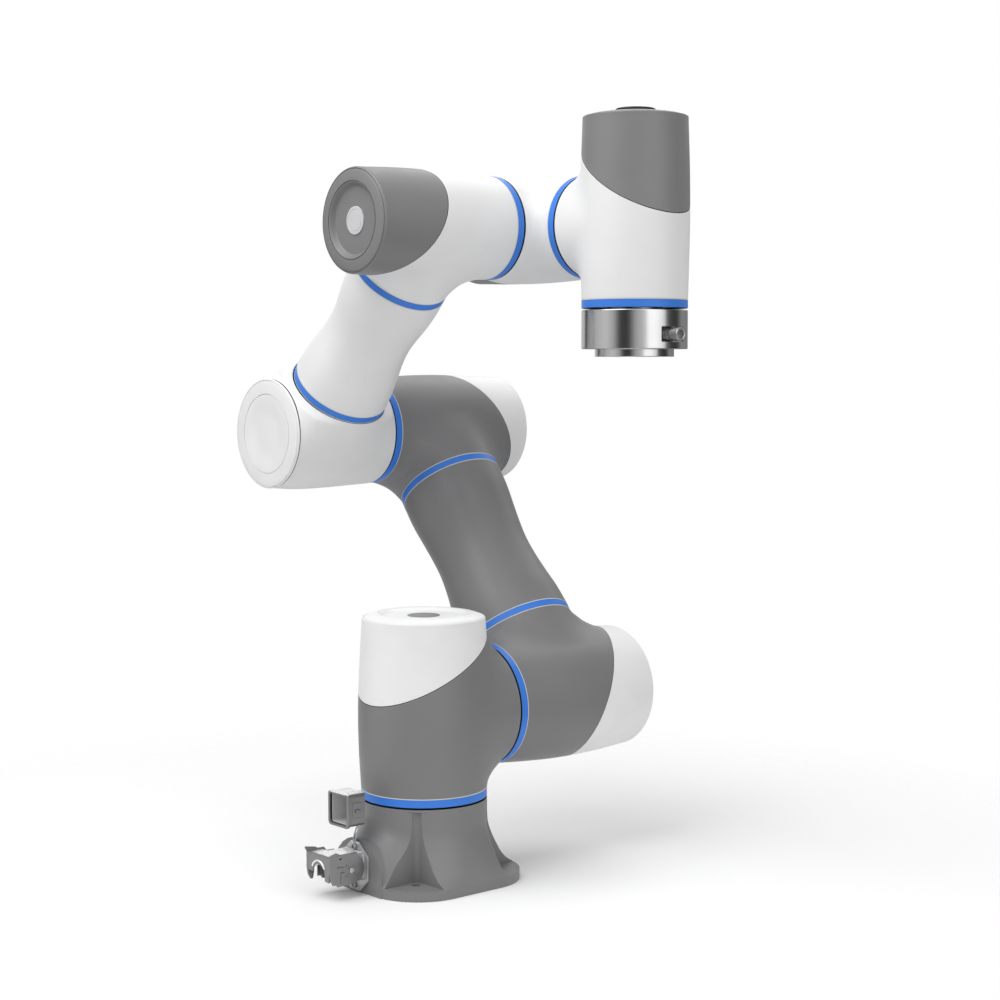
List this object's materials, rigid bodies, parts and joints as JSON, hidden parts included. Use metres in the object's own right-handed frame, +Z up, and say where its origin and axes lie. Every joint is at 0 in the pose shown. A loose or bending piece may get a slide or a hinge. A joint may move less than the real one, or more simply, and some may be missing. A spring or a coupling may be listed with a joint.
{
  "type": "collaborative robot arm",
  "caption": "Six-axis collaborative robot arm on a flanged pedestal, with band rings at its joints, hollow-shaft drives inside, a cable connector on the base and a round tool flange.",
  "frame": {"origin": "centre of the base's mounting face, on the joint 1 axis", "axes": "+Z up along the joint 1 axis, +Y along the joint 2 axis from the base towards the upper arm, -Y towards the side with the cable connector"},
  "size_m": [0.3671, 0.3242, 0.614],
  "materials": {
    "dark_paint": "painted, fine satin texture",
    "white_paint": "painted, fine satin texture",
    "dark_cover": "satin moulded",
    "white_cover": "satin moulded",
    "blue_ring": "satin moulded",
    "flange_metal": "turned and anodised",
    "connector_metal": "die-cast, blasted",
    "steel": "machined",
    "winding": "laminations with enamelled copper",
    "board": "solder mask",
    "black_plastic": "moulded"
  },
  "bodies": {
    "base": {"base_casting": "dark_paint", "connector_shell": "connector_metal", "connector_insert": "black_plastic", "connector_screws": "steel", "base_harness": "black_plastic"},
    "connector_lever": {"connector_lever": "connector_metal"},
    "dust_cap": {"dust_cap": "connector_metal", "dust_cap_cord": "steel"},
    "shoulder": {"shoulder_housing": "dark_paint", "shoulder_cover": "white_cover", "shoulder_badge": "dark_cover", "joint_1_ring": "blue_ring", "joint_1_stator": "winding", "joint_1_gear": "steel", "joint_1_board": "board"},
    "rotor_1": {"joint_1_rotor": "steel"},
    "upper_arm": {"joint_2_housing": "dark_paint", "joint_2_cover": "white_cover", "joint_2_ring": "blue_ring", "upper_arm_tube": "dark_paint", "upper_arm_lower_ring": "blue_ring", "upper_arm_upper_ring": "blue_ring", "joint_3_housing": "dark_paint", "joint_3_cover": "white_cover", "joint_3_ring": "blue_ring", "upper_arm_stators": "winding", "upper_arm_gears": "steel", "upper_arm_boards": "board"},
    "rotor_2": {"joint_2_rotor": "steel"},
    "rotor_3": {"joint_3_rotor": "steel"},
    "forearm": {"elbow_housing": "white_paint", "elbow_cover": "white_cover", "forearm_tube": "white_paint", "forearm_lower_ring": "blue_ring", "forearm_upper_ring": "blue_ring", "joint_4_housing": "white_paint", "joint_4_cover": "dark_cover", "joint_4_badge": "white_cover", "joint_4_ring": "blue_ring", "joint_4_stator": "winding", "joint_4_gear": "steel", "joint_4_board": "board"},
    "rotor_4": {"joint_4_rotor": "steel"},
    "wrist_1": {"wrist_1_housing": "white_paint", "wrist_1_cover": "dark_cover", "joint_5_ring": "blue_ring", "joint_5_stator": "winding", "joint_5_gear": "steel", "joint_5_board": "board"},
    "rotor_5": {"joint_5_rotor": "steel"},
    "wrist_2": {"wrist_2_housing": "white_paint", "wrist_2_cover": "dark_cover", "joint_6_ring": "blue_ring", "joint_6_stator": "winding", "joint_6_gear": "steel", "joint_6_board": "board"},
    "wrist_button": {"wrist_2_button": "black_plastic"},
    "rotor_6": {"joint_6_rotor": "steel"},
    "tool_flange": {"tool_flange": "flange_metal", "tool_connector": "steel"}
  },
  "joints": [
    {"name": "joint_1", "type": "hinge", "parent": "base", "child": "shoulder", "pos_m": [0, 0, 0.1343], "axis": [0, 0, 1], "range_deg": [-360, 360]},
    {"name": "joint_2", "type": "hinge", "parent": "shoulder", "child": "upper_arm", "pos_m": [0, 0.1321, 0.1343], "axis": [0, 1, 0], "range_deg": [-360, 360]},
    {"name": "joint_3", "type": "hinge", "parent": "upper_arm", "child": "forearm", "pos_m": [-0.16298, 0.0118, 0.35456], "axis": [0, 1, 0], "range_deg": [-174, 28]},
    {"name": "joint_4", "type": "hinge", "parent": "forearm", "child": "wrist_1", "pos_m": [-0.0076, 0.0118, 0.52413], "axis": [0, 1, 0], "range_deg": [-188, 56]},
    {"name": "joint_5", "type": "hinge", "parent": "wrist_1", "child": "wrist_2", "pos_m": [-0.0076, 0.1283, 0.52413], "axis": [1, 0, 0], "range_deg": [-360, 360]},
    {"name": "joint_6", "type": "hinge", "parent": "wrist_2", "child": "tool_flange", "pos_m": [0.1084, 0.1283, 0.52413], "axis": [0, 0, 1], "range_deg": [-360, 360]},
    {"name": "rotor_1_spin", "type": "hinge", "parent": "shoulder", "child": "rotor_1", "pos_m": [0, 0, 0.1343], "axis": [0, 0, 1], "range_deg": [-36400, 36400]},
    {"name": "rotor_2_spin", "type": "hinge", "parent": "upper_arm", "child": "rotor_2", "pos_m": [0, 0.1321, 0.1343], "axis": [0, 1, 0], "range_deg": [-36400, 36400]},
    {"name": "rotor_3_spin", "type": "hinge", "parent": "upper_arm", "child": "rotor_3", "pos_m": [-0.16298, 0.1321, 0.35456], "axis": [0, 1, 0], "range_deg": [-17614, 17614]},
    {"name": "rotor_4_spin", "type": "hinge", "parent": "forearm", "child": "rotor_4", "pos_m": [-0.0076, 0.0118, 0.52413], "axis": [0, 1, 0], "range_deg": [-19028, 19028]},
    {"name": "rotor_5_spin", "type": "hinge", "parent": "wrist_1", "child": "rotor_5", "pos_m": [-0.0076, 0.1283, 0.52413], "axis": [1, 0, 0], "range_deg": [-36400, 36400]},
    {"name": "rotor_6_spin", "type": "hinge", "parent": "wrist_2", "child": "rotor_6", "pos_m": [0.1084, 0.1283, 0.52413], "axis": [0, 0, 1], "range_deg": [-36400, 36400]},
    {"name": "lever_swing", "type": "hinge", "parent": "base", "child": "connector_lever", "pos_m": [0, -0.0845, 0.0227], "axis": [1, 0, 0], "range_deg": [-45, 0]},
    {"name": "cap_swing", "type": "hinge", "parent": "base", "child": "dust_cap", "pos_m": [0, -0.0697, 0.0361], "axis": [0, 1, 0], "range_deg": [-70, 70]},
    {"name": "button_press", "type": "slide", "parent": "wrist_2", "child": "wrist_button", "axis": [0, 0, -1], "range_m": [0, 0.0014], "stiffness_N_per_m": 800, "springref_m": -0.001}
  ],
  "couplings": [
    {"joint": "rotor_1_spin", "follows": "joint_1", "ratio": -101},
    {"joint": "rotor_2_spin", "follows": "joint_2", "ratio": -101},
    {"joint": "rotor_3_spin", "follows": "joint_3", "ratio": 101},
    {"joint": "rotor_4_spin", "follows": "joint_4", "ratio": 101},
    {"joint": "rotor_5_spin", "follows": "joint_5", "ratio": 101},
    {"joint": "rotor_6_spin", "follows": "joint_6", "ratio": 101}
  ]
}
